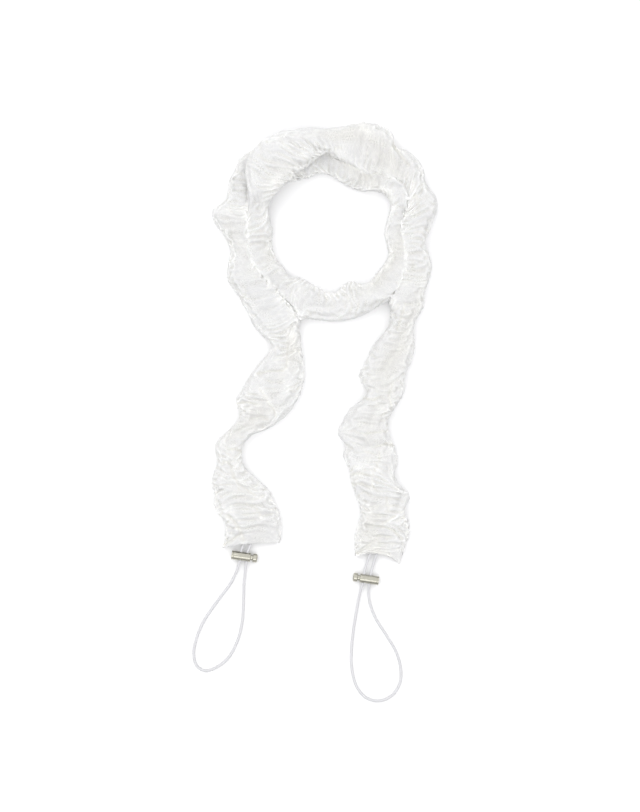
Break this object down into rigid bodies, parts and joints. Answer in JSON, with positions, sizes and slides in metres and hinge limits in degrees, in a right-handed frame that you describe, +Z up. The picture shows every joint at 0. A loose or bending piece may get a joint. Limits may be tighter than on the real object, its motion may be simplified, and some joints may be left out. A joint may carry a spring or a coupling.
{
  "type": "pleated lace scarf",
  "caption": "Skinny tube scarf of pleated lace gathered on an elastic drawcord, laid flat and wound once into a ring, with a sprung barrel cord lock and a cord loop at each end.",
  "frame": {"origin": "middle of the outline in plan of the lace tube with its locks, on the surface that the scarf lies on", "axes": "+Y from the cord loops up the tails to the ring, +X to the right in the view from above, +Z up from the surface"},
  "size_m": [0.2451, 0.58, 0.0304],
  "materials": {
    "lace": "semi-sheer off-white pleated lace",
    "elastic_cord": "milky translucent white elastic cord",
    "nickel": "polished warm nickel plate"
  },
  "bodies": {
    "root": {"lace_tube": "lace", "draw_cord_outer": "elastic_cord", "draw_cord_inner": "elastic_cord", "cord_loop_left": "elastic_cord", "cord_loop_right": "elastic_cord", "lock_barrel_left": "nickel", "lock_barrel_right": "nickel"},
    "plunger_left": {"lock_plunger_left": "nickel"},
    "plunger_right": {"lock_plunger_right": "nickel"}
  },
  "joints": [
    {"name": "press_left", "type": "slide", "parent": "root", "child": "plunger_left", "axis": [-0.99, 0.1409, 0], "range_m": [0, 0.0018], "stiffness_N_per_m": 800, "springref_m": -0.002},
    {"name": "press_right", "type": "slide", "parent": "root", "child": "plunger_right", "axis": [0.9885, -0.1513, 0], "range_m": [0, 0.0018], "stiffness_N_per_m": 800, "springref_m": -0.002}
  ]
}
